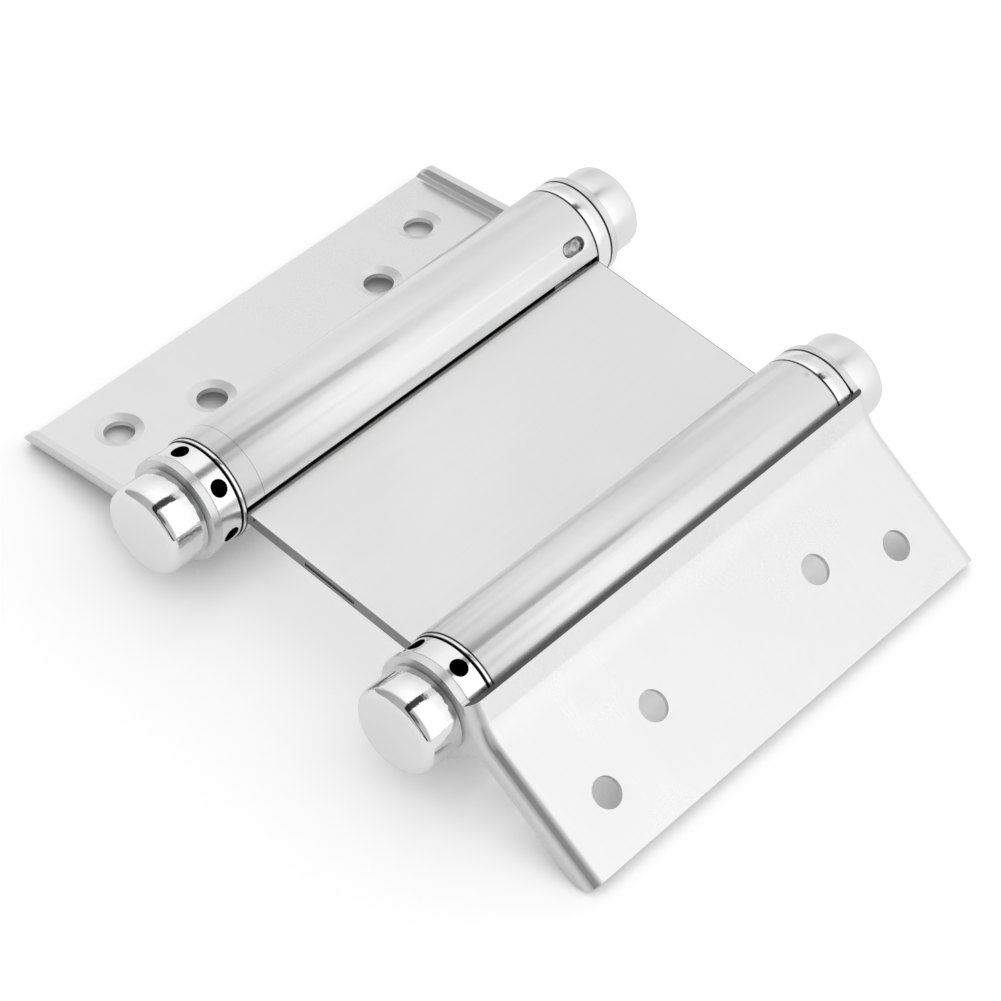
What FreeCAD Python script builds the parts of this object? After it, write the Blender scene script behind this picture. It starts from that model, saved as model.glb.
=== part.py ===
import FreeCAD, Part
import math
import os
import Sketcher

from FreeCAD import Vector

# Double action spring hinge, nominal 4 inch, untensioned.
# X runs from the left pin to the right pin, Y from the collar end to the plug end, Z is up.
# The origin lies on the table, midway between the two pins, at the middle of the leaves' length.

doc = FreeCAD.newDocument("double_action_hinge")

# Driving dimensions in millimetres and degrees
SIZES = [
    ("pin_spacing", 50.0, "left pin axis to right pin axis"),
    ("barrel_dia", 17.0, "outside of the rolled barrels"),
    ("barrel_sheet", 1.0, "sheet of the web and barrels"),
    ("barrel_length", 77.7, "rolled length"),
    ("root_bend", 0.8, "outside radius where web turns into barrel"),
    ("seam_angle", 17.0, "where the roll ends, seen from its own flat"),
    ("edge_gap", 0.25, "cut edge of a flat to the other barrel"),
    ("edge_round", 0.35, "sheared shoulder of that cut edge"),
    ("lap_gap", 0.3, "each flat stands off the other at the middle of the near edge"),
    ("lap_gap_length", 9.8, "along that edge"),
    ("lap_gap_depth", 3.0, "in from that edge"),
    ("stake_angle", 42.5, "crimp round the barrel, from its own flat"),
    ("stake_length", 4.8, "mouth of the crimp along the barrel"),
    ("stake_width", 2.9, "mouth of the crimp across"),
    ("stake_depth", 0.55, "how deep the crimp is pressed"),
    ("stake_slope", 50.0, "lean of its sides"),
    ("stake_wall", 0.5, "metal left round the crimp on the inside"),
    ("stake_inset", 4.3, "crimp centre from the plug end of the barrel"),
    ("leaf_sheet", 1.3, "sheet of the leaves"),
    ("leaf_width", 33.8, "pin axis to the outer long edge"),
    ("leaf_back", 7.2, "pin axis to the back face"),
    ("flange_depth", 3.5, "back face to the free edge of the end flanges"),
    ("flange_corner", 2.8, "outer corner of the end flanges"),
    ("flange_bend", 1.0, "inside radius of the end bends"),
    ("strip_angle", 28.0, "inner strip against the flat of the leaf"),
    ("strip_clearance", 0.5, "inner strip clear of the barrel"),
    ("strip_reach", 3.3, "inner edge past the point nearest the barrel"),
    ("strip_bend", 8.0, "radius where strip meets flat, on the back"),
    ("ear_valley", 1.5, "radius from the eye up to the inner edge"),
    ("ear_neck", 3.0, "radius from the eye into the flange"),
    ("screw_hole", 4.9, "through holes"),
    ("countersink", 7.8, "shallow countersinks on the screw face"),
    ("countersink_depth", 0.5, "shallow countersinks on the screw face"),
    ("outer_row", 24.6, "pin axis to the outer holes"),
    ("inner_row", 19.5, "pin axis to the inner holes"),
    ("outer_pitch", 66.6, "between the outer holes"),
    ("inner_pitch", 37.1, "between the inner holes"),
    ("spindle_dia", 5.0, "pin through barrel and eyes"),
    ("pin_clearance", 0.05, "running clearance on the pin, radial"),
    ("axial_play", 0.1, "between faces that turn on each other"),
    ("end_play", 0.4, "plug to leaf, the leaves lying pushed to that side"),
    ("bore_clearance", 0.1, "spigots and hubs inside the barrel, radial"),
    ("cap_dia", 14.4, "end caps"),
    ("cap_length", 7.0, "end caps, beyond the leaf"),
    ("cap_rim", 1.3, "rounded front rim of the caps"),
    ("cap_chamfer", 0.4, "rear edge of the caps"),
    ("cap_bore_depth", 4.6, "how far the pin goes into a cap"),
    ("collar_step", 0.25, "tension collar below the barrel's surface, radial"),
    ("collar_length", 4.2, "tension collar between eye and washer"),
    ("collar_edge", 0.25, "edge break of the collar"),
    ("collar_holes", 6.0, "tommy bar holes round the collar"),
    ("tommy_hole", 2.8, "diameter of these holes"),
    ("tommy_depth", 4.2, "their depth"),
    ("left_tommy_angle", 51.0, "one of them at rest, from level"),
    ("right_tommy_angle", 74.8, "one of them at rest, from level"),
    ("hub_length", 5.0, "hub of the collar inside the barrel"),
    ("washer_step", 0.1, "washer below the barrel's surface, radial"),
    ("washer_thickness", 0.7, "washer between collar and barrel"),
    ("plug_flange", 3.1, "flange of the end plug"),
    ("plug_edge", 0.3, "edge of that flange against the barrel"),
    ("plug_spigot", 9.0, "spigot of the end plug inside the barrel"),
    ("spring_room", 0.9, "closed coils to the barrel's inside, radial"),
    ("wire_radial", 2.2, "spring wire across the coil"),
    ("wire_axial", 2.6, "spring wire along the coil"),
    ("tang_length", 2.4, "straight ends of the spring"),
    ("tang_clearance", 0.15, "round the straight ends in their slots"),
    ("seat_gap", 0.2, "last coil to hub or spigot"),
    ("axis_height", 12.3, "pin axes above the table the hinge stands on"),
]

sheet = doc.addObject("Spreadsheet::Sheet", "sizes")
for row, (alias, value, note) in enumerate(SIZES, start=1):
    sheet.set("A%d" % row, note)
    sheet.set("B%d" % row, str(value))
    sheet.setAlias("B%d" % row, alias)
doc.recompute()


def size(alias):
    return float(sheet.get(alias))


# Places and sizes that follow from the driving dimensions
ring_r = size("barrel_dia") / 2
bore_r = ring_r - size("barrel_sheet")
coil_r = bore_r - size("spring_room")
half_stack = (
    size("barrel_length") + size("collar_length") + size("washer_thickness") + size("plug_flange")
    + 2 * size("axial_play") + size("end_play")
) / 2
half_leaf = half_stack + size("leaf_sheet")
barrel_near = half_stack - size("end_play") - size("plug_flange") - size("barrel_length")
barrel_far = barrel_near + size("barrel_length")
washer_near = barrel_near - size("washer_thickness")
collar_near = -half_stack + size("axial_play")
collar_far = collar_near + size("collar_length")
web_tilt = math.degrees(math.asin(size("barrel_sheet") / size("pin_spacing")))
flat_span = math.sqrt(size("pin_spacing") ** 2 - size("barrel_sheet") ** 2)
flange_edge = size("leaf_back") - size("flange_depth")

# Both leaves stand on the table: the left on its back edge, the right on its flange corners
left_droop = math.degrees(
    math.asin(size("axis_height") / math.hypot(size("leaf_width"), size("leaf_back")))
    - math.atan2(size("leaf_back"), size("leaf_width"))
)
corner_out = size("leaf_width") - size("flange_corner")
corner_up = flange_edge + size("flange_corner")
right_droop = math.degrees(
    math.asin((size("axis_height") - size("flange_corner")) / math.hypot(corner_out, corner_up))
    + math.atan2(corner_up, corner_out)
)

SIDES = {
    "left": {"x": "-sizes.pin_spacing / 2", "leaf_turn": 180 - left_droop, "web_turn": web_tilt},
    "right": {"x": "sizes.pin_spacing / 2", "leaf_turn": right_droop, "web_turn": 180 + web_tilt},
}


# Helpers
smallest_cut = 0.1


def place(obj, x_expression, y, turn):
    """Puts an object on a pin axis, shifted along it and turned about it."""
    obj.Placement = FreeCAD.Placement(Vector(0, y, 0), FreeCAD.Rotation(Vector(0, 1, 0), turn))
    put_on_axis(obj, x_expression)


def put_on_axis(obj, x_expression):
    obj.setExpression(".Placement.Base.x", x_expression)
    obj.setExpression(".Placement.Base.z", "sizes.axis_height")


def origin_feature(body, role):
    return next(f for f in body.Origin.OriginFeatures if f.Role == role)


def new_sketch(body, name, role, offset=None):
    sketch = body.newObject("Sketcher::SketchObject", name)
    sketch.AttachmentSupport = [(origin_feature(body, role), "")]
    sketch.MapMode = "FlatFace"
    if offset is not None:
        sketch.AttachmentOffset = offset
    return sketch


def at(x, y):
    return Vector(x, y, 0)


def up(z):
    return Vector(0, 0, z)


def polar(radius, degrees):
    angle = math.radians(degrees)
    return at(radius * math.cos(angle), radius * math.sin(angle))


def add_line(sketch, start, end):
    return sketch.addGeometry(Part.LineSegment(start, end))


def add_arc(sketch, centre, radius, start, end):
    circle = Part.Circle(centre, Vector(0, 0, 1), radius)
    return sketch.addGeometry(Part.ArcOfCircle(circle, math.radians(start), math.radians(end)))


def add_circle(sketch, x, y, radius):
    return sketch.addGeometry(Part.Circle(at(x, y), Vector(0, 0, 1), radius))


def bind(sketch, expression, *constraint):
    """Adds a dimension and ties it to the sheet."""
    index = sketch.addConstraint(Sketcher.Constraint(*constraint))
    sketch.setExpression("Constraints[%d]" % index, expression)


def join(sketch, kind, *ends):
    """Joins two ends, sharply or tangent."""
    sketch.addConstraint(Sketcher.Constraint(kind, *ends))


def add_polygon(sketch, points):
    """Closed outline of straight lines, its corners fixed where the code puts them."""
    lines = [add_line(sketch, p, q) for p, q in zip(points, points[1:] + points[:1])]
    for line, following in zip(lines, lines[1:] + lines[:1]):
        join(sketch, "Coincident", line, 2, following, 1)
    return lines


def pad_both_ways(body, sketch, name, length_expression):
    pad = body.newObject("PartDesign::Pad", name)
    pad.Profile = sketch
    pad.Midplane = True
    pad.setExpression("Length", length_expression)
    return pad


def cut_out(body, sketch, name, length_expression, both_ways=False, outward=False, taper=0.0):
    """Pocket that has to take metal away."""
    before = body.Shape.Volume
    cut = body.newObject("PartDesign::Pocket", name)
    cut.Profile = sketch
    cut.Midplane = both_ways
    cut.Reversed = outward
    cut.TaperAngle = taper
    cut.setExpression("Length", length_expression)
    doc.recompute()
    if before - body.Shape.Volume < smallest_cut:
        raise RuntimeError(name + " cuts nothing")
    return cut


def dress(body, kind, name, edges, size_expression, second_expression=None):
    """Rounds or chamfers the named edges of a body as it is now."""
    base = body.Tip
    feature = body.newObject("PartDesign::" + kind, name)
    feature.Base = (base, edges)
    feature.setExpression("Radius" if kind == "Fillet" else "Size", size_expression)
    if second_expression:
        feature.ChamferType = "Two distances"
        feature.setExpression("Size2", second_expression)
    doc.recompute()


def edges_where(shape, test):
    """Names of the edges whose box centre passes a test."""
    return ["Edge%d" % i for i, edge in enumerate(shape.Edges, start=1) if test(edge)]


def turned_body(name, steps):
    """Solid of revolution about the pin axis from (radius, y) corners."""
    body = doc.addObject("PartDesign::Body", name)
    sketch = new_sketch(body, name + "_profile", "XY_Plane")
    add_polygon(sketch, [at(r, y) for r, y in steps])
    turned = body.newObject("PartDesign::Revolution", name + "_turned")
    turned.Profile = sketch
    turned.ReferenceAxis = (sketch, ["V_Axis"])
    turned.Angle = 360
    doc.recompute()
    return body


# Web sheets: one roll and one flat each, the two flats lie on each other
def make_web_sheet(side):
    name = side + "_barrel_sheet"
    body = doc.addObject("PartDesign::Body", name)
    thick = size("barrel_sheet")
    bend = size("root_bend")
    bend_x = math.sqrt((ring_r + bend) ** 2 - (bend + thick / 2) ** 2)
    bend_y = -(bend + thick / 2)
    root = math.degrees(math.atan2(bend_y, bend_x))
    seam = size("seam_angle")
    reach = flat_span - ring_r - size("edge_gap")

    sketch = new_sketch(body, name + "_section", "XZ_Plane")
    inside = add_line(sketch, at(reach, thick / 2), at(bend_x, thick / 2))
    inner_bend = add_arc(sketch, at(bend_x, bend_y), bend + thick, 90, 180 + root)
    inner_roll = add_arc(sketch, at(0, 0), bore_r, seam, 360 + root)
    roll_end = add_line(sketch, polar(bore_r, seam), polar(ring_r, seam))
    outer_roll = add_arc(sketch, at(0, 0), ring_r, seam, 360 + root)
    outer_bend = add_arc(sketch, at(bend_x, bend_y), bend, 90, 180 + root)
    outside = add_line(sketch, at(bend_x, -thick / 2), at(reach, -thick / 2))
    cut_edge = add_line(sketch, at(reach, -thick / 2), at(reach, thick / 2))
    join(sketch, "Tangent", inside, 2, inner_bend, 1)
    join(sketch, "Tangent", inner_bend, 2, inner_roll, 2)
    join(sketch, "Coincident", inner_roll, 1, roll_end, 1)
    join(sketch, "Coincident", roll_end, 2, outer_roll, 1)
    join(sketch, "Tangent", outer_roll, 2, outer_bend, 2)
    join(sketch, "Tangent", outer_bend, 1, outside, 1)
    join(sketch, "Coincident", outside, 2, cut_edge, 1)
    join(sketch, "Coincident", cut_edge, 2, inside, 1)
    join(sketch, "Coincident", inner_roll, 3, -1, 1)
    join(sketch, "Coincident", outer_roll, 3, -1, 1)
    join(sketch, "Horizontal", inside)
    join(sketch, "Horizontal", outside)
    join(sketch, "Vertical", cut_edge)
    bind(sketch, "sizes.barrel_dia / 2", "Radius", outer_roll, ring_r)
    bind(sketch, "sizes.barrel_dia / 2 - sizes.barrel_sheet", "Radius", inner_roll, bore_r)
    bind(sketch, "sizes.root_bend", "Radius", outer_bend, bend)
    bind(sketch, "sizes.root_bend + sizes.barrel_sheet", "Radius", inner_bend, bend + thick)
    bind(sketch, "sizes.barrel_sheet / 2", "DistanceY", -1, 1, inside, 1, thick / 2)
    bind(sketch, "sizes.barrel_sheet / 2", "DistanceY", outside, 2, -1, 1, thick / 2)
    bind(
        sketch,
        "sqrt(sizes.pin_spacing ^ 2 - sizes.barrel_sheet ^ 2) - sizes.barrel_dia / 2 - sizes.edge_gap",
        "DistanceX", -1, 1, cut_edge, 1, reach,
    )
    join(sketch, "PointOnObject", -1, 1, roll_end)
    bind(sketch, "sizes.seam_angle * 1 deg", "Angle", -1, 1, roll_end, 1, math.radians(seam))
    pad_both_ways(body, sketch, name + "_rolled", "sizes.barrel_length")
    doc.recompute()

    # The shear leaves the outer shoulder of the cut edge round
    shoulder = edges_where(
        body.Shape,
        lambda e: abs(e.BoundBox.XMin - reach) < 0.01 and e.BoundBox.YLength > 1 and e.BoundBox.ZMax < 0,
    )
    dress(body, "Fillet", name + "_shoulder", shoulder, "sizes.edge_round")

    # At the middle of the near edge the two flats gape
    gap = new_sketch(
        body, name + "_gap_outline", "XY_Plane", FreeCAD.Placement(up(thick / 2), FreeCAD.Rotation())
    )
    gap_from = (size("pin_spacing") - size("lap_gap_length")) / 2
    gap_to = gap_from + size("lap_gap_length")
    edge_y = -size("barrel_length") / 2
    gap_y = edge_y + size("lap_gap_depth")
    add_polygon(gap, [at(gap_from, edge_y), at(gap_to, edge_y), at(gap_to, gap_y), at(gap_from, gap_y)])
    cut_out(body, gap, name + "_gap", "sizes.lap_gap")

    # Crimp that holds the end plug: a boss on the inside, then the pressed slot on the outside
    turn = FreeCAD.Rotation(Vector(0, 1, 0), 90 - size("stake_angle"))
    centre_y = size("barrel_length") / 2 - size("stake_inset")
    boss_at = turn.multVec(up(bore_r - size("stake_depth")))
    boss = slot_sketch(
        body, name + "_boss_outline", FreeCAD.Placement(boss_at, turn), centre_y, stake_straight, boss_r
    )
    pad = body.newObject("PartDesign::Pad", name + "_boss")
    pad.Profile = boss
    pad.setExpression("Length", "sizes.stake_depth + sizes.barrel_sheet / 2")
    doc.recompute()
    crimp = slot_sketch(
        body, name + "_crimp_outline", FreeCAD.Placement(turn.multVec(up(ring_r)), turn), centre_y,
        stake_straight, size("stake_width") / 2,
    )
    cut_out(body, crimp, name + "_crimp", "sizes.stake_depth", taper=-size("stake_slope"))
    body.Label = name
    place(body, SIDES[side]["x"], (barrel_near + barrel_far) / 2, SIDES[side]["web_turn"])
    return body


stake_straight = (size("stake_length") - size("stake_width")) / 2
boss_r = (
    size("stake_width") / 2 - size("stake_depth") * math.tan(math.radians(size("stake_slope")))
    + size("stake_wall")
)


def slot_sketch(body, name, offset, centre_y, half_straight, radius):
    """Rounded slot along the barrel."""
    sketch = new_sketch(body, name, "XY_Plane", offset)
    top = add_arc(sketch, at(0, centre_y + half_straight), radius, 0, 180)
    bottom = add_arc(sketch, at(0, centre_y - half_straight), radius, 180, 360)
    left = add_line(sketch, at(-radius, centre_y + half_straight), at(-radius, centre_y - half_straight))
    right = add_line(sketch, at(radius, centre_y - half_straight), at(radius, centre_y + half_straight))
    join(sketch, "Tangent", top, 2, left, 1)
    join(sketch, "Tangent", left, 2, bottom, 1)
    join(sketch, "Tangent", bottom, 2, right, 1)
    join(sketch, "Coincident", right, 2, top, 1)
    return sketch


# Leaves: a sheet bent along the pin and folded at both ends, trimmed to the side outline
def leaf_frame():
    """Directions and places of the inner strip in the leaf's own section."""
    angle = math.radians(size("strip_angle"))
    normal = at(math.sin(angle), math.cos(angle))
    along = at(-math.cos(angle), math.sin(angle))
    back = ring_r + size("strip_clearance") + size("leaf_sheet")
    corner_x = (back - size("leaf_back") * normal.y) / normal.x
    return normal, along, back, at(corner_x, size("leaf_back"))


def add_fold_line(sketch, depth, past):
    """Plate, bend and strip as one line, a depth below the back face and run past both edges."""
    normal, along, back, corner = leaf_frame()
    radius = size("strip_bend")
    tangent = radius * math.tan(math.radians(size("strip_angle") / 2))
    centre = corner + at(tangent, radius)
    plate_y = size("leaf_back") - depth
    plate = add_line(sketch, at(size("leaf_width") + past, plate_y), at(centre.x, plate_y))
    strip_start = centre - normal * (radius + depth)
    strip_end = normal * (back - depth) + along * (ring_r + past)
    bend = add_arc(sketch, centre, radius + depth, 270 - size("strip_angle"), 270)
    strip = add_line(sketch, strip_start, strip_end)
    join(sketch, "Tangent", plate, 2, bend, 2)
    join(sketch, "Tangent", bend, 1, strip, 1)
    join(sketch, "Horizontal", plate)
    return plate, strip, strip_end


def close_fold(sketch, plate, strip, strip_end, past):
    """Closes a fold line underneath, well below the eyes."""
    floor = -(ring_r + past)
    left = add_line(sketch, strip_end, at(strip_end.x, floor))
    under = add_line(sketch, at(strip_end.x, floor), at(size("leaf_width") + past, floor))
    start = sketch.Geometry[plate].StartPoint
    right = add_line(sketch, at(size("leaf_width") + past, floor), start)
    join(sketch, "Coincident", strip, 2, left, 1)
    join(sketch, "Coincident", left, 2, under, 1)
    join(sketch, "Coincident", under, 2, right, 1)
    join(sketch, "Coincident", right, 2, plate, 1)
    join(sketch, "Vertical", left)
    join(sketch, "Horizontal", under)
    join(sketch, "Vertical", right)


def fold_edges(shape, end_y, depth):
    """Edges where the plate, bend and strip meet the planes at both ends."""
    normal, along, back, corner = leaf_frame()
    radius = size("strip_bend") + depth
    tangent = size("strip_bend") * math.tan(math.radians(size("strip_angle") / 2))
    centre = corner + at(tangent, size("strip_bend"))

    def on_fold(edge):
        box = edge.BoundBox
        if box.YLength > 0.01 or abs(abs(box.YMin) - end_y) > 0.01:
            return False
        middle = edge.valueAt((edge.FirstParameter + edge.LastParameter) / 2)
        point = at(middle.x, middle.z)
        on_plate = abs(point.y - (size("leaf_back") - depth)) < 0.01
        on_strip = abs(point.dot(normal) - (back - depth)) < 0.01
        on_bend = abs((point - centre).Length - radius) < 0.01
        return on_plate or on_strip or on_bend

    return edges_where(shape, on_fold)


def make_fold(name):
    """The bent and folded sheet with its screw holes, before it is trimmed at the sides."""
    past = ring_r
    body = doc.addObject("PartDesign::Body", name)
    outer = new_sketch(body, name + "_back_line", "XZ_Plane")
    close_fold(outer, *add_fold_line(outer, 0, past), past)
    pad_both_ways(body, outer, name + "_block", leaf_length)
    doc.recompute()
    outside = fold_edges(body.Shape, half_leaf, 0)
    dress(body, "Fillet", name + "_end_bends", outside, "sizes.flange_bend + sizes.leaf_sheet")

    inner = new_sketch(body, name + "_screw_line", "XZ_Plane")
    close_fold(inner, *add_fold_line(inner, size("leaf_sheet"), 2 * past), 2 * past)
    cut_out(body, inner, name + "_hollow", leaf_length + " - 2 * sizes.leaf_sheet", both_ways=True)
    inside = fold_edges(body.Shape, half_stack, size("leaf_sheet"))
    dress(body, "Fillet", name + "_inner_bends", inside, "sizes.flange_bend")

    holes = new_sketch(body, name + "_hole_places", "XY_Plane")
    for row, pitch in (("outer_row", "outer_pitch"), ("inner_row", "inner_pitch")):
        for sign in (-1, 1):
            hole = add_circle(holes, size(row), sign * size(pitch) / 2, size("screw_hole") / 2)
            ends = (-1, 1, hole, 3) if sign > 0 else (hole, 3, -1, 1)
            bind(holes, "sizes.screw_hole / 2", "Radius", hole, size("screw_hole") / 2)
            bind(holes, "sizes." + row, "DistanceX", -1, 1, hole, 3, size(row))
            bind(holes, "sizes.%s / 2" % pitch, "DistanceY", *ends, size(pitch) / 2)
    cut_out(body, holes, name + "_holes", "4 * sizes.leaf_back", both_ways=True)
    rims = edges_where(
        body.Shape,
        lambda e: e.BoundBox.ZLength < 0.01
        and abs(e.BoundBox.ZMin - size("leaf_back") + size("leaf_sheet")) < 0.01
        and abs(e.BoundBox.XLength - size("screw_hole")) < 0.01,
    )
    dress(
        body, "Chamfer", name + "_countersinks", rims, "(sizes.countersink - sizes.screw_hole) / 2",
        "sizes.countersink_depth",
    )
    return body


def make_side_outline(name):
    """Side view of a leaf: flange, eye round the pin, and the inner edge of the strip."""
    normal, along, back, corner = leaf_frame()
    eye = ring_r
    valley = size("ear_valley")
    neck = size("ear_neck")
    reach = size("strip_reach")
    round_r = size("flange_corner")
    width = size("leaf_width")
    top = 2 * size("leaf_back")

    valley_along = reach + valley
    valley_out = math.sqrt((eye + valley) ** 2 - valley_along ** 2)
    valley_centre = normal * valley_out + along * valley_along
    valley_from = math.degrees(math.atan2(valley_centre.y, valley_centre.x))
    edge_angle = -size("strip_angle")
    neck_centre = at(math.sqrt((eye + neck) ** 2 - (flange_edge - neck) ** 2), flange_edge - neck)
    neck_from = math.degrees(math.atan2(neck_centre.y, neck_centre.x))

    body = doc.addObject("PartDesign::Body", name)
    sketch = new_sketch(body, name + "_view", "XZ_Plane")
    cut_top = normal * top + along * reach
    cut_end = normal * valley_out + along * reach
    inner_cut = add_line(sketch, cut_top, cut_end)
    dip = add_arc(sketch, valley_centre, valley, 180 + valley_from, 360 + edge_angle)
    ring = add_arc(sketch, at(0, 0), eye, valley_from, 360 + neck_from)
    throat = add_arc(sketch, neck_centre, neck, 90, 180 + neck_from)
    free_edge = add_line(sketch, at(neck_centre.x, flange_edge), at(width - round_r, flange_edge))
    round_corner = add_arc(sketch, at(width - round_r, flange_edge + round_r), round_r, 270, 360)
    outer_edge = add_line(sketch, at(width, flange_edge + round_r), at(width, cut_top.y))
    over = add_line(sketch, at(width, cut_top.y), cut_top)
    join(sketch, "Tangent", inner_cut, 2, dip, 2)
    join(sketch, "Tangent", dip, 1, ring, 1)
    join(sketch, "Tangent", ring, 2, throat, 2)
    join(sketch, "Tangent", throat, 1, free_edge, 1)
    join(sketch, "Tangent", free_edge, 2, round_corner, 1)
    join(sketch, "Tangent", round_corner, 2, outer_edge, 1)
    join(sketch, "Coincident", outer_edge, 2, over, 1)
    join(sketch, "Coincident", over, 2, inner_cut, 1)
    join(sketch, "Coincident", ring, 3, -1, 1)
    join(sketch, "Horizontal", free_edge)
    join(sketch, "Horizontal", over)
    join(sketch, "Vertical", outer_edge)
    bind(sketch, "sizes.barrel_dia / 2", "Radius", ring, eye)
    bind(sketch, "sizes.ear_valley", "Radius", dip, valley)
    bind(sketch, "sizes.ear_neck", "Radius", throat, neck)
    bind(sketch, "sizes.flange_corner", "Radius", round_corner, round_r)
    bind(sketch, "sizes.leaf_width", "DistanceX", -1, 1, outer_edge, 1, width)
    bind(sketch, "sizes.strip_reach", "Distance", -1, 1, inner_cut, reach)
    pad_both_ways(body, sketch, name + "_width", leaf_length + " + 2 * sizes.leaf_sheet")
    doc.recompute()

    bore = new_sketch(body, name + "_bore_place", "XZ_Plane")
    hole = add_circle(bore, 0, 0, size("spindle_dia") / 2 + size("pin_clearance"))
    join(bore, "Coincident", hole, 3, -1, 1)
    bind(bore, "sizes.spindle_dia / 2 + sizes.pin_clearance", "Radius", hole, size("spindle_dia") / 2)
    cut_out(body, bore, name + "_bore", leaf_length + " + 4 * sizes.leaf_sheet", both_ways=True)
    return body


leaf_length = (
    "(sizes.barrel_length + sizes.collar_length + sizes.washer_thickness + sizes.plug_flange"
    " + 2 * sizes.axial_play + sizes.end_play + 2 * sizes.leaf_sheet)"
)


def make_leaf(side):
    name = side + "_leaf"
    leaf = doc.addObject("Part::Common", name)
    leaf.Base = make_fold(name + "_fold")
    leaf.Tool = make_side_outline(name + "_side")
    doc.recompute()
    leaf.Label = name
    place(leaf, SIDES[side]["x"], 0, SIDES[side]["leaf_turn"])
    return leaf


# Turned parts on the pin axes
rim_steps = 3


def make_spindle(side):
    name = side + "_spindle"
    pin = doc.addObject("Part::Cylinder", name)
    pin.setExpression("Radius", "sizes.spindle_dia / 2")
    pin.setExpression("Height", leaf_length + " + 2 * sizes.cap_bore_depth")
    pin.Placement = FreeCAD.Placement(
        Vector(0, -half_leaf - size("cap_bore_depth"), 0), FreeCAD.Rotation(Vector(1, 0, 0), -90)
    )
    put_on_axis(pin, SIDES[side]["x"])
    pin.Label = name
    return pin


def make_cap(side, end):
    """Turned cap on the end of the pin, its front rim turned in small steps, bored for the pin."""
    name = "%s_%s_cap" % (side, end)
    out = size("cap_dia") / 2
    pin = size("spindle_dia") / 2
    length = size("cap_length")
    chamfer = size("cap_chamfer")
    depth = size("cap_bore_depth")
    round_r = size("cap_rim")
    rim = [polar(round_r, 90 * i / rim_steps) + at(out - round_r, length - round_r) for i in range(rim_steps + 1)]
    body = turned_body(
        name,
        [(pin, 0), (out - chamfer, 0), (out, chamfer)] + [(p.x, p.y) for p in rim]
        + [(0, length), (0, depth), (pin, depth)],
    )
    body.Label = name
    sign = 1 if end == "far" else -1
    body.Placement = FreeCAD.Placement(
        Vector(0, sign * half_leaf, 0), FreeCAD.Rotation(Vector(1, 0, 0), 0 if end == "far" else 180)
    )
    put_on_axis(body, SIDES[side]["x"])
    return body


def cut_tang_slot(body, name, start_y, outward, turn):
    """Axial slot for a straight end of the spring."""
    wide = size("wire_radial") + 2 * size("tang_clearance")
    high = size("wire_axial") + 2 * size("tang_clearance")
    middle = coil_r - size("wire_radial") / 2
    rotation = FreeCAD.Rotation(Vector(0, 0, 1), turn)
    sketch = new_sketch(
        body, name + "_slot_outline", "XZ_Plane", FreeCAD.Placement(Vector(0, 0, -start_y), rotation)
    )
    low, far = middle - wide / 2, middle + wide / 2
    add_polygon(sketch, [at(low, -high / 2), at(far, -high / 2), at(far, high / 2), at(low, high / 2)])
    cut_out(body, sketch, name + "_slot", "sizes.tang_length + sizes.seat_gap", outward=outward)


def make_collar(side):
    """Tension collar: a ring with radial holes for a tommy bar and a hub that takes the spring."""
    name = side + "_tension_collar"
    out = ring_r - size("collar_step")
    edge = size("collar_edge")
    pin = size("spindle_dia") / 2 + size("pin_clearance")
    hub = bore_r - size("bore_clearance")
    length = size("collar_length")
    end = length + size("washer_thickness") + size("axial_play") + size("hub_length")
    hole_turn = 90 - size(side + "_tommy_angle")
    body = turned_body(
        name,
        [(pin, 0), (out - edge, 0), (out, edge), (out, length - edge), (out - edge, length),
         (hub, length), (hub, end), (pin, end)],
    )
    sketch = new_sketch(
        body, name + "_hole_place", "XY_Plane", FreeCAD.Placement(Vector(0, 0, out + edge), FreeCAD.Rotation())
    )
    hole = add_circle(sketch, 0, length / 2, size("tommy_hole") / 2)
    bind(sketch, "sizes.tommy_hole / 2", "Radius", hole, size("tommy_hole") / 2)
    bind(sketch, "sizes.collar_length / 2", "DistanceY", -1, 1, hole, 3, length / 2)
    drill = cut_out(body, sketch, name + "_hole", "sizes.tommy_depth + sizes.collar_edge")
    pattern = body.newObject("PartDesign::PolarPattern", name + "_holes")
    pattern.Originals = [drill]
    pattern.Axis = (origin_feature(body, "Y_Axis"), [""])
    pattern.Angle = 360
    pattern.Occurrences = int(round(size("collar_holes")))
    body.Tip = pattern
    doc.recompute()
    cut_tang_slot(body, name, end, True, hole_turn)
    body.Label = name
    turn = hole_turn + (0 if side == "left" else 180)
    place(body, SIDES[side]["x"], collar_near, turn)
    return body


def make_washer(side):
    name = side + "_collar_washer"
    out = ring_r - size("washer_step")
    thick = size("washer_thickness")
    body = turned_body(name, [(bore_r, 0), (out, 0), (out, thick), (bore_r, thick)])
    body.Label = name
    place(body, SIDES[side]["x"], washer_near, 0)
    return body


def make_plug(side):
    """End plug: its flange closes the barrel, the crimp sits in its dimple, and it holds the spring."""
    name = side + "_end_plug"
    pin = size("spindle_dia") / 2 + size("pin_clearance")
    spigot = bore_r - size("bore_clearance")
    end = -size("plug_spigot")
    edge = size("plug_edge")
    flange = size("plug_flange")
    body = turned_body(
        name,
        [(pin, end), (spigot, end), (spigot, 0), (ring_r - edge, 0), (ring_r, edge), (ring_r, flange),
         (pin, flange)],
    )
    turn = FreeCAD.Rotation(Vector(0, 1, 0), 90 - size("stake_angle") + web_tilt)
    dimple = slot_sketch(
        body, name + "_dimple_outline", FreeCAD.Placement(turn.multVec(up(bore_r)), turn), -size("stake_inset"),
        stake_straight, boss_r + size("bore_clearance"),
    )
    cut_out(body, dimple, name + "_dimple", "sizes.stake_depth + sizes.bore_clearance")
    cut_tang_slot(body, name, end, False, spring_twist)
    body.Label = name
    place(body, SIDES[side]["x"], barrel_far, 0 if side == "left" else 180)
    return body


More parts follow.
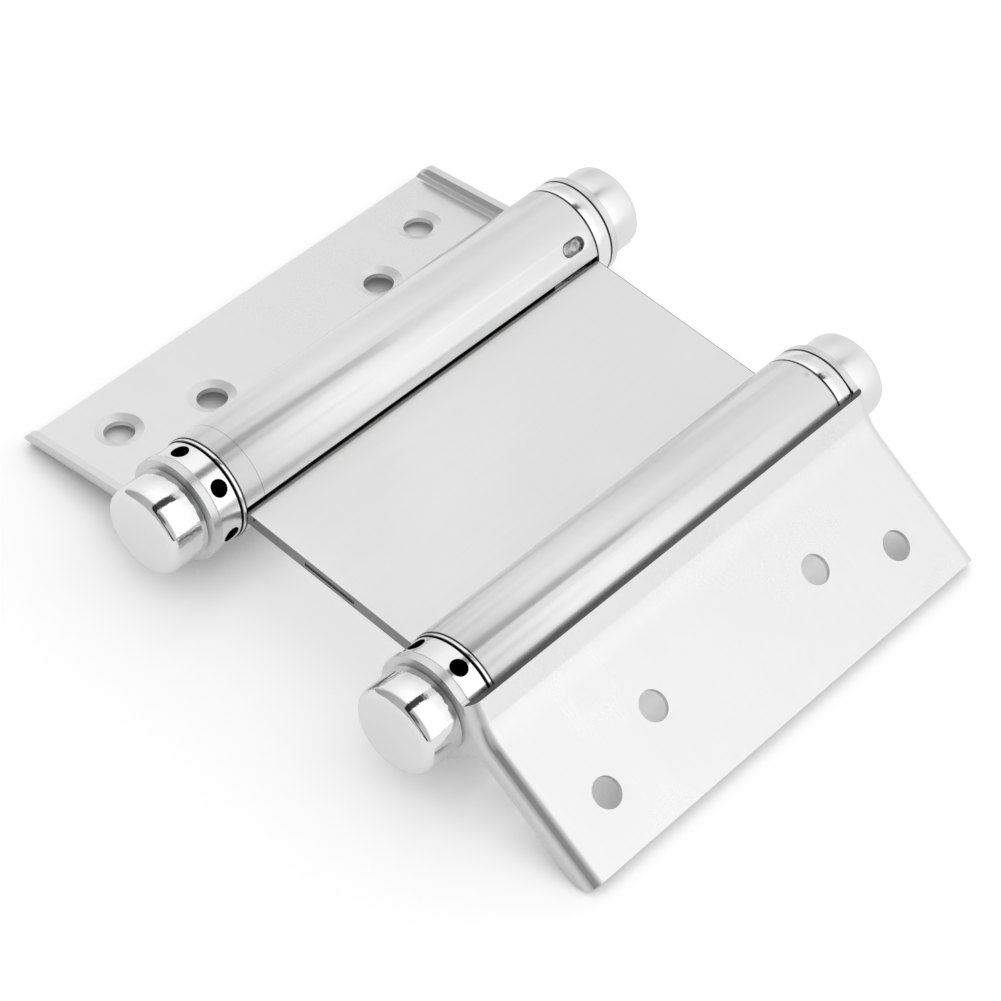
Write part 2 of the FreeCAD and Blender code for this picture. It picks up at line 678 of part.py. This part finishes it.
# Torsion springs, closed coils of square wire drawn as one sleeve, with a straight end at each side
hub_end = collar_far + size("washer_thickness") + size("axial_play") + size("hub_length")
spigot_end = barrel_far - size("plug_spigot")
spring_start = hub_end + size("seat_gap")
spring_length = spigot_end - size("seat_gap") - spring_start
spring_twist = 90.0


def make_spring(side):
    name = side + "_torsion_spring"
    low = coil_r - size("wire_radial")
    half = size("wire_axial") / 2
    body = turned_body(name, [(low, 0), (coil_r, 0), (coil_r, spring_length), (low, spring_length)])
    for end, turn, y in (("collar", 0.0, 0.0), ("plug", spring_twist, spring_length)):
        rotation = FreeCAD.Rotation(up(1), turn)
        sketch = new_sketch(
            body, "%s_%s_end_outline" % (name, end), "XZ_Plane", FreeCAD.Placement(up(-y), rotation)
        )
        inner = math.sqrt(low ** 2 + half ** 2)
        outer = math.sqrt(coil_r ** 2 - half ** 2)
        add_polygon(sketch, [at(inner, -half), at(outer, -half), at(outer, half), at(inner, half)])
        tang = body.newObject("PartDesign::Pad", "%s_%s_end" % (name, end))
        tang.Profile = sketch
        tang.Reversed = end == "plug"
        tang.setExpression("Length", "sizes.tang_length + sizes.seat_gap")
        doc.recompute()
    body.Label = name
    place(body, SIDES[side]["x"], spring_start, 0 if side == "left" else 180)
    return body


nodes = []
for side in ("left", "right"):
    nodes.append(make_web_sheet(side))
    nodes.append(make_leaf(side))
    nodes.append(make_spindle(side))
    nodes.append(make_cap(side, "near"))
    nodes.append(make_cap(side, "far"))
    nodes.append(make_collar(side))
    nodes.append(make_washer(side))
    nodes.append(make_plug(side))
    nodes.append(make_spring(side))
doc.recompute()

for obj in doc.Objects:
    if "Invalid" in obj.State or "Error" in obj.State:
        raise RuntimeError("%s did not build" % obj.Label)

os.makedirs("parts", exist_ok=True)
for node in nodes:
    if node.Shape.isNull() or not node.Shape.isValid():
        raise RuntimeError("%s has no valid shape" % node.Label)
    node.Shape.exportStep(os.path.join("parts", node.Label + ".step"))
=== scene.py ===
import math

import bpy
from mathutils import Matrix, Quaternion, Vector


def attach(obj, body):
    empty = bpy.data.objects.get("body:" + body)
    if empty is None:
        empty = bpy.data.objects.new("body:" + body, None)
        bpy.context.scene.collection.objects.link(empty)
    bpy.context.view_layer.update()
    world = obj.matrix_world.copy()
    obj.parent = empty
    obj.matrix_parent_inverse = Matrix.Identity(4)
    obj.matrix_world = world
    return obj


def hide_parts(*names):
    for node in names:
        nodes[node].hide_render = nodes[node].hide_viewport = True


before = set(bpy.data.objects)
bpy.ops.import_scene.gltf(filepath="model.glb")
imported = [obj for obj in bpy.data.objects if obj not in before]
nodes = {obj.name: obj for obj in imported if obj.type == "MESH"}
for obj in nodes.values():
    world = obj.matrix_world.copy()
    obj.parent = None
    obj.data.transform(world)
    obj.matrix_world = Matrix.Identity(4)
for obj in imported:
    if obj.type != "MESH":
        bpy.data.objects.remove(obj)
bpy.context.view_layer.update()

scene = bpy.context.scene
scene.view_settings.view_transform = "Standard"


# Camera at the photograph's angle
camera_data = bpy.data.cameras.new("camera")
camera_data.lens = 122.14
camera_data.sensor_width = 36.0
camera_data.clip_start = 0.01
camera_data.clip_end = 20.0
camera = bpy.data.objects.new("camera", camera_data)
camera.location = Vector((203.20, -278.39, 385.03)) / 1000
camera.rotation_mode = "QUATERNION"
camera.rotation_quaternion = Quaternion((0.8647794, 0.3470814, 0.0860166, 0.3525511))
scene.collection.objects.link(camera)
scene.camera = camera


# Node graphs
mix_factor, mix_first, mix_second, mix_colour = 0, 6, 7, 2


class Graph:
    """The node tree of a material or the world, with short calls for the nodes used here."""

    def __init__(self, owner, output):
        owner.use_nodes = True
        self.tree = owner.node_tree
        self.tree.nodes.clear()
        self.surface = self.node(output).inputs["Surface"]

    def node(self, kind, **values):
        made = self.tree.nodes.new(kind)
        for name, value in values.items():
            setattr(made, name, value)
        return made

    def link(self, source, target):
        self.tree.links.new(source, target)

    def put(self, target, value):
        """Gives a socket a number or colour, or links another node's result to it."""
        if isinstance(value, bpy.types.NodeSocket):
            self.link(value, target)
        else:
            target.default_value = value

    def math(self, operation, first, second=0.0, clamp=False):
        made = self.node("ShaderNodeMath", operation=operation, use_clamp=clamp)
        self.put(made.inputs[0], first)
        self.put(made.inputs[1], second)
        return made.outputs[0]

    def fold(self, operation, values):
        """One value out of several, taken in their order."""
        total = values[0]
        for value in values[1:]:
            total = self.math(operation, total, value)
        return total

    def plus(self, *values):
        return self.fold("ADD", values)

    def minus(self, first, second):
        return self.math("SUBTRACT", first, second)

    def times(self, *values):
        return self.fold("MULTIPLY", values)

    def most(self, *values):
        return self.fold("MAXIMUM", values)

    def unsigned(self, value):
        return self.math("ABSOLUTE", value)

    def spread(self, value, low, high, to_low=0.0, to_high=1.0):
        """A value's way from low to high, eased, as the way from to_low to to_high."""
        made = self.node("ShaderNodeMapRange", interpolation_type="SMOOTHSTEP")
        self.put(made.inputs["Value"], value)
        made.inputs["From Min"].default_value = low
        made.inputs["From Max"].default_value = high
        made.inputs["To Min"].default_value = to_low
        made.inputs["To Max"].default_value = to_high
        return made.outputs["Result"]

    def spread_mm(self, length, low, high, to_low=0.0, to_high=1.0):
        """As spread, between two lengths in millimetres."""
        return self.spread(length, low / 1000, high / 1000, to_low, to_high)

    def band_mm(self, length, middle, half, soft):
        """One inside a band of millimetres, falling to zero over the soft width outside it."""
        off = self.unsigned(self.minus(length, middle / 1000))
        return self.spread_mm(off, half + soft, half)

    def blend(self, factor, first, second):
        made = self.node("ShaderNodeMix", data_type="RGBA")
        self.put(made.inputs[mix_factor], factor)
        self.put(made.inputs[mix_first], first)
        self.put(made.inputs[mix_second], second)
        return made.outputs[mix_colour]

    def coords(self, kind="Object"):
        return self.node("ShaderNodeTexCoord").outputs[kind]

    def split(self, vector):
        made = self.node("ShaderNodeSeparateXYZ")
        self.link(vector, made.inputs[0])
        return made.outputs

    def distance(self, vector, point):
        made = self.node("ShaderNodeVectorMath", operation="DISTANCE")
        self.link(vector, made.inputs[0])
        made.inputs[1].default_value = point
        return made.outputs["Value"]

    def place(self, scale, turn=(0.0, 0.0, 0.0), shift=(0.0, 0.0, 0.0)):
        """The place on the piece, scaled, turned and shifted for a texture."""
        mapping = self.node("ShaderNodeMapping")
        mapping.inputs["Scale"].default_value = scale
        mapping.inputs["Rotation"].default_value = turn
        mapping.inputs["Location"].default_value = shift
        self.link(self.coords(), mapping.inputs["Vector"])
        return mapping.outputs["Vector"]

    def noise(self, vector, scale, detail=3.0, rough=0.5):
        made = self.node("ShaderNodeTexNoise")
        self.link(vector, made.inputs["Vector"])
        made.inputs["Scale"].default_value = scale
        made.inputs["Detail"].default_value = detail
        made.inputs["Roughness"].default_value = rough
        return made.outputs["Fac"]


def grey(level):
    return (level, level, level, 1.0)


# Places on the piece, in millimetres, that the painted shade and the dark marks follow. The radii are from the
# nearer pin's axis, and of two values the first is where the darkening begins and the second where it is at its
# full strength
pin_x, pin_z = 25.0, 12.3
barrel_near, barrel_far = -38.05, 39.65
washer_near = -38.75
ring_soft = 0.04
collar_hole = (8.05, 7.90)
flange_shade_reach = (42.4, 43.4)
crimp_wall, crimp_bed = (8.47, 8.38), (8.12, 8.04)
crimp_end = (32.5, 32.7)
scribe_line, scribe_end = -34.35, (-16.0, -17.0)
crease_x, crease_height = 16.35, 1.0
mark_place = (25.2, 38.7, 20.8)

# Strengths of the painted shade in the gaps, crimps, creases and on the flanges, and of the scribed line and the
# mark, as shares of black
gap_shade, end_gap_shade, line_mark_and_shade, mark_dirt, flange_shade_strength = 0.95, 0.9, 0.45, 0.3, 0.10
dirt_and_shade_grey = 0.012


def from_pin(g):
    """Distance from the nearer pin axis."""
    x, y, z = g.split(g.coords())
    across = g.minus(g.unsigned(x), pin_x / 1000)
    up = g.minus(z, pin_z / 1000)
    return g.math("SQRT", g.plus(g.times(across, across), g.times(up, up)))


def rings(g, *places):
    """Painted shade rings round the pin axis: (y, half width, strength) each."""
    y = g.split(g.coords())[1]
    return g.most(*[g.times(g.band_mm(y, place, half, ring_soft), strength) for place, half, strength in places])


def collar_dirt_and_shade(g):
    """Dirt and painted shade in the tommy bar holes, and painted shade in the gap to the washer."""
    return g.most(g.spread_mm(from_pin(g), *collar_hole), rings(g, (washer_near - 0.05, 0.06, gap_shade)))


# Painted shade in the gaps between the washer and the collar and the barrel
def washer_gap_shade(g):
    return rings(g, (washer_near, 0.05, gap_shade), (barrel_near, 0.06, gap_shade))


# Painted shade in the gap between the barrel's far end and the plug
def plug_gap_shade(g):
    return rings(g, (barrel_far + 0.08, 0.18, end_gap_shade))


def flange_shade(g):
    """Painted shade that darkens the end flanges and eyes against the rolled faces."""
    y = g.split(g.coords())[1]
    return g.spread_mm(g.unsigned(y), *flange_shade_reach, 0.0, flange_shade_strength)


def barrel_marks_and_shade(g):
    """Painted shade at the barrels' ends, in the crimps and along the web's creases beside the barrels, and two
    dark marks: a scribed line and a small mark.
    """
    radius = from_pin(g)
    x, y, z = g.split(g.coords())
    # Painted shade in the gaps at the barrel ends
    ends = rings(g, (barrel_near, 0.1, end_gap_shade), (barrel_far, 0.1, end_gap_shade))
    # Painted shade in the crimp grooves, weaker in random patches on their beds
    patchy_bed = g.times(g.spread_mm(radius, *crimp_bed), g.spread(g.noise(g.coords(), 900.0), 0.4, 0.6, 0.05, 0.5))
    crimp = g.times(g.spread_mm(radius, *crimp_wall), g.minus(gap_shade, patchy_bed), g.spread_mm(y, *crimp_end))
    scribe = g.times(g.band_mm(y, scribe_line, 0.04, 0.06), g.spread_mm(x, *scribe_end, 0.0, line_mark_and_shade))
    # Painted shade along the web's creases beside the barrels
    height = g.unsigned(g.minus(z, pin_z / 1000))
    crease = g.times(g.band_mm(g.unsigned(x), crease_x, 0.10, 0.12), g.band_mm(height, crease_height, 0.4, 0.1),
                     line_mark_and_shade)
    from_mark = g.distance(g.coords(), [value / 1000 for value in mark_place])
    mark = g.times(g.spread_mm(from_mark, 0.6, 0.15), mark_dirt)
    return g.most(ends, crimp, scribe, crease, mark)


# Steel finishes: scales of the noises per metre, and how each one tints the steel
cloud_scale, grain_scale = 45.0, 900.0
cloud_share, grain_share = 0.7, 0.3
wave_scale, peel_scale = 75.0, 1500.0
streak_share, streak_tint, streak_rough = 0.06, 0.86, 0.03
scratch_scale, scratch_grey = (1600.0, 34.0, 34.0), 0.90
scratch_sets = ((0.5, 3.1), (-0.9, 7.7), (1.9, 1.3))
pit_scale, pit_patches = 900.0, 160.0
pit_share, pit_tint = 0.4, 0.55
bump_strength, bump_depth = 0.5, 0.0001


def metal(name, base, rough, coat=None, wave=0.0, peel=0.0, brush=None, brush_bump=0.0, scratches=0.0,
          pits=0.0, dirt_and_shade=None, metallic=1.0, seed=0.0):
    """Bare or plated steel with clouds, waves, orange peel, brushing, sparse scratches, pits, and dirt and
    painted shade.

    base is a pair of grey levels that the clouds run between, rough a pair of roughnesses, coat the
    roughness and index of a sharper gloss on top, brush a scale along each axis, small along the strokes.
    """
    material = bpy.data.materials.new(name)
    g = Graph(material, "ShaderNodeOutputMaterial")
    shader = g.node("ShaderNodeBsdfPrincipled")
    shader.inputs["Metallic"].default_value = metallic
    g.link(shader.outputs["BSDF"], g.surface)
    if coat:
        shader.inputs["Coat Weight"].default_value = 1.0
        shader.inputs["Coat Roughness"].default_value = coat[0]
        shader.inputs["Coat IOR"].default_value = coat[1]

    even = g.place((1.0, 1.0, 1.0), shift=(seed, seed * 0.7, seed * 1.3))
    clouds = g.times(g.spread(g.noise(even, cloud_scale, 2.0), 0.30, 0.70), cloud_share)
    grain = g.times(g.noise(even, grain_scale, 3.0, 0.6), grain_share)
    tone = g.math("ADD", clouds, grain, clamp=True)
    colour = g.blend(tone, grey(base[0]), grey(base[1]))
    roughness = g.spread(tone, 0.2, 0.8, *rough)
    heights = []
    if wave:
        heights.append(g.times(g.noise(even, wave_scale, 1.0), wave))
    if peel:
        heights.append(g.times(g.noise(even, peel_scale, 2.0), peel))
    if brush:
        stroke = g.noise(g.place(brush, shift=(seed, seed, seed)), 1.0, 3.0, 0.7)
        streak = g.spread(stroke, 0.25, 0.75)
        colour = g.blend(g.times(streak, streak_share), colour, grey(base[0] * streak_tint))
        roughness = g.plus(roughness, g.times(streak, streak_rough))
        heights.append(g.times(stroke, brush_bump))
    if scratches:
        marks = []
        for turn, shift in scratch_sets:
            vector = g.place(scratch_scale, turn=(0.0, 0.0, turn), shift=(shift, seed, 0.0))
            marks.append(g.spread(g.noise(vector, 1.0, 1.0), 0.745, 0.80))
        lines = g.most(*marks)
        colour = g.blend(g.times(lines, scratches), colour, grey(scratch_grey))
        heights.append(g.times(lines, -scratches))
    if pits:
        cells = g.node("ShaderNodeTexVoronoi")
        g.link(even, cells.inputs["Vector"])
        cells.inputs["Scale"].default_value = pit_scale
        spot = g.spread(cells.outputs["Distance"], 0.14, 0.02)
        spot = g.times(spot, g.spread(g.noise(even, pit_patches), 0.55, 0.65))
        heights.append(g.times(spot, -pits))
        colour = g.blend(g.times(spot, pit_share), colour, grey(base[0] * pit_tint))
    # Dirt and painted shade, blended towards a near-black grey
    if dirt_and_shade:
        colour = g.blend(dirt_and_shade(g), colour, grey(dirt_and_shade_grey))
    g.put(shader.inputs["Base Color"], colour)
    g.put(shader.inputs["Roughness"], roughness)
    if heights:
        bump = g.node("ShaderNodeBump")
        bump.inputs["Strength"].default_value = bump_strength
        bump.inputs["Distance"].default_value = bump_depth
        g.link(g.plus(*heights), bump.inputs["Height"])
        g.link(bump.outputs["Normal"], shader.inputs["Normal"])
        if coat:
            g.link(bump.outputs["Normal"], shader.inputs["Coat Normal"])
    return material


# Painted shade: a near-black finish for the leaves' cut faces, standing for the shade in the gap beside the
# barrels
cut_face_shade = metal("cut_face_painted_shade", (0.10, 0.18), (0.4, 0.55), brush=(60.0, 60.0, 60.0), brush_bump=0.2, seed=9.9)
finishes = {
    "barrel_sheet": metal("web_satin", (0.78, 0.83), (0.34, 0.42), coat=(0.11, 2.3), wave=1.0, peel=0.03,
                          brush=(2200.0, 40.0, 2200.0), brush_bump=0.04, scratches=0.05, dirt_and_shade=barrel_marks_and_shade,
                          metallic=0.8, seed=1.7),
    "leaf": metal("leaf_satin", (0.77, 0.82), (0.24, 0.32), coat=(0.16, 1.8), wave=0.8,
                  brush=(60.0, 2600.0, 60.0), brush_bump=0.03, scratches=0.03, dirt_and_shade=flange_shade,
                  metallic=0.85, seed=0.4),
    "spindle": metal("pin_steel", (0.55, 0.65), (0.2, 0.3), seed=6.3),
    "near_cap": metal("bright_plating", (0.80, 0.84), (0.04, 0.08), peel=0.35, pits=0.3, seed=2.9),
    "far_cap": metal("worn_plating", (0.79, 0.84), (0.28, 0.36), peel=0.10, pits=0.2, seed=3.6),
    "tension_collar": metal("collar_plating", (0.80, 0.84), (0.14, 0.20), peel=0.15, pits=0.3,
                            dirt_and_shade=collar_dirt_and_shade, seed=7.4),
    "collar_washer": metal("washer_plating", (0.80, 0.84), (0.14, 0.20), peel=0.05, dirt_and_shade=washer_gap_shade, seed=8.8),
    "end_plug": metal("plug_plating", (0.82, 0.86), (0.14, 0.20), peel=0.15, pits=0.4, dirt_and_shade=plug_gap_shade, seed=4.2),
    "torsion_spring": metal("spring_wire", (0.30, 0.42), (0.35, 0.5), seed=5.1),
}


# Two edges that the photograph shows elsewhere than the CAD, in millimetres: the leaves' inner strips end lower,
# with a dark gap beside the barrel, and each flat of the web reaches further in at the other barrel's free edge
strip_turn = {"left": -19.2, "right": 122.7}
strip_edge, strip_trim = 3.3, 1.6
eye_radius, eye_corner, strip_back = 8.5, 8.0, 8.9
edge_slack, corner_length, corner_depth = 0.1, 0.9, 0.6
flat_edge, flat_slack, flat_reach = 16.24, 0.6, 0.75
facing = 0.9


def redrawn(side, kind, body, move):
    """A copy of a node with some points moved, which stands for it; move takes and gives millimetres."""
    name = "%s_%s" % (side, kind)
    mesh = nodes[name].data.copy()
    for vertex in mesh.vertices:
        vertex.co = move(side, vertex.co * 1000) / 1000
    mesh.materials.clear()
    mesh.materials.append(finishes[kind])
    piece = bpy.data.objects.new(name + "_redrawn", mesh)
    scene.collection.objects.link(piece)
    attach(piece, body)
    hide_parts(name)
    return piece


def strip_place(side, point):
    """Directions along the strip and off the pin, and how far a point lies along each."""
    turn = math.radians(strip_turn[side])
    along = Vector((math.cos(turn), 0.0, math.sin(turn)))
    off = Vector((math.sin(turn), 0.0, -math.cos(turn)))
    spot = point - Vector((-pin_x if side == "left" else pin_x, 0.0, pin_z))
    return along, off, spot.dot(along), spot.dot(off)


def trim_strip(side, point):
    """Shifts the strip's inner edge down, and turns the corner beside it down the eye's rim."""
    along, off, reach, away = strip_place(side, point)
    beside_edge = strip_edge - edge_slack < reach < strip_edge + corner_length
    if not (beside_edge and away > eye_corner - corner_depth):
        return point
    share = min(max((away - eye_corner) / (strip_back - eye_corner), 0.0), 1.0)
    swing = strip_trim / eye_radius
    turned_reach = reach * math.cos(swing) - away * math.sin(swing)
    turned_away = away * math.cos(swing) + reach * math.sin(swing)
    new_reach = turned_reach + (reach - strip_trim - turned_reach) * share
    new_away = turned_away + (away - turned_away) * share
    return point + along * (new_reach - reach) + off * (new_away - away)


def extend_flat(side, point):
    """Shifts the cut edge of a barrel sheet's flat towards the other barrel."""
    outward = 1 if side == "left" else -1
    if point.x * outward > flat_edge - flat_slack:
        return point + Vector((flat_reach * outward, 0.0, 0.0))
    return point


def redrawn_leaf(side):
    """The leaf with its trimmed strip, whose cut face is painted near-black as the shade in the gap beside the
    barrel.
    """
    piece = redrawn(side, "leaf", side + "_leaf", trim_strip)
    piece.data.materials.append(cut_face_shade)
    for face in piece.data.polygons:
        along, off, reach, away = strip_place(side, face.center * 1000)
        at_edge = abs(reach - strip_edge + strip_trim) < edge_slack and away > eye_corner
        face.material_index = 1 if at_edge and face.normal.dot(along) > facing else 0
    return piece


# Widths of the broken edges in millimetres. The leaves and collars have none, because a weld spoils the normals
# round their holes
edge_breaks = {
    "barrel_sheet": 0.12, "near_cap": 0.12, "far_cap": 0.12, "collar_washer": 0.12, "end_plug": 0.10,
}
weld_reach, edge_segments, edge_angle = 0.002, 2, 35


def break_edges(piece, width):
    weld = piece.modifiers.new("weld", "WELD")
    weld.merge_threshold = weld_reach / 1000
    bevel = piece.modifiers.new("edge_break", "BEVEL")
    bevel.width = width / 1000
    bevel.segments = edge_segments
    bevel.limit_method = "ANGLE"
    bevel.angle_limit = math.radians(edge_angle)
    bevel.harden_normals = True


for side in ("left", "right"):
    for kind, finish in finishes.items():
        if kind == "leaf":
            piece = redrawn_leaf(side)
        elif kind == "barrel_sheet":
            piece = redrawn(side, kind, "web", extend_flat)
        else:
            piece = nodes["%s_%s" % (side, kind)]
            piece.data.materials.clear()
            piece.data.materials.append(finish)
        if kind in edge_breaks:
            break_edges(piece, edge_breaks[kind])


# Floor: its glow adds up to white for the camera and the steel, and fades close to the part as a painted shadow
floor_half, floor_drop = 3, 0.0002
floor_grey, camera_glow, mirror_glow = 0.66, 0.58, 0.48
glow_reach, glow_full = 0.012, 0.8
floor_mesh = bpy.data.meshes.new("floor")
floor_mesh.from_pydata([(x * floor_half, y * floor_half, 0) for x, y in ((-1, -1), (1, -1), (1, 1), (-1, 1))],
                       [], [(0, 1, 2, 3)])
floor = bpy.data.objects.new("floor", floor_mesh)
floor.location.z = -floor_drop
scene.collection.objects.link(floor)
floor_material = bpy.data.materials.new("floor")
g = Graph(floor_material, "ShaderNodeOutputMaterial")
plain = g.node("ShaderNodeBsdfDiffuse")
plain.inputs["Color"].default_value = grey(floor_grey)
glow = g.node("ShaderNodeEmission")
glow.inputs["Color"].default_value = grey(1.0)
ray = g.node("ShaderNodeLightPath").outputs
looked_at = g.plus(g.times(ray["Is Camera Ray"], camera_glow), g.times(ray["Is Glossy Ray"], mirror_glow))
open_sky = g.node("ShaderNodeAmbientOcclusion", samples=4)
open_sky.inputs["Distance"].default_value = glow_reach
g.link(g.times(looked_at, g.spread(open_sky.outputs["AO"], 0.0, glow_full)), glow.inputs["Strength"])
both = g.node("ShaderNodeAddShader")
g.link(plain.outputs["BSDF"], both.inputs[0])
g.link(glow.outputs["Emission"], both.inputs[1])
g.link(both.outputs["Shader"], g.surface)
floor_mesh.materials.append(floor_material)


# Studio light by direction: +x is right, +y behind and +z above. Each line is a stretch of one of them, with
# the light, or the darkness of a card that shows in the steel, at its two ends
left_light, right_light = (-1.0, -0.42, -0.22, 0.0), (-0.5, 0.8, 1.03, 1.21)
back_light, front_light = (0.36, 0.72, 1.18, 0.86), (-0.10, 0.38, 0.42, 1.0)
corner_x, corner_y = (-0.45, -0.62), (0.50, 0.60, 0.0, 0.08)
rim_z, rim_x = (0.03, -0.02), (0.20, 0.45, 0.0, 0.65)
slit_x, slit_half = 0.03, (0.15, 0.11)
slit_back, slit_end = (0.48, 0.58, 0.95, 0.18), (0.80, 0.70)
slit_lean = (0.80, -0.05, 0.0, 0.80)
photographer = (0.34, 0.20, 0.0, 0.75)

world = bpy.data.worlds.new("studio")
g = Graph(world, "ShaderNodeOutputWorld")
x, y, z = g.split(g.coords("Generated"))
across = g.plus(g.spread(x, *left_light), g.spread(x, *right_light))
along = g.times(g.spread(y, *back_light), g.spread(y, *front_light))
corner = g.times(g.spread(x, *corner_x), g.spread(y, *corner_y))
rim = g.times(g.spread(z, *rim_z), g.spread(x, *rim_x))
lean = g.times(g.spread(z, *slit_lean), g.math("LESS_THAN", y, 0.0))
from_slit = g.unsigned(g.minus(g.minus(x, slit_x), lean))
slit = g.times(g.spread(from_slit, *slit_half), g.spread(y, *slit_back), g.spread(y, *slit_end))
from_camera = g.distance(g.coords("Generated"), camera.location.normalized())
dark = g.most(g.plus(g.most(slit, rim), corner), g.spread(from_camera, *photographer))
tent = g.times(across, along, g.minus(1.0, dark))
seen = g.node("ShaderNodeLightPath").outputs["Is Camera Ray"]
sky = g.node("ShaderNodeBackground")
sky.inputs["Color"].default_value = grey(1.0)
g.link(g.plus(g.times(tent, g.minus(1.0, seen)), seen), sky.inputs["Strength"])
g.link(sky.outputs["Background"], g.surface)
scene.world = world
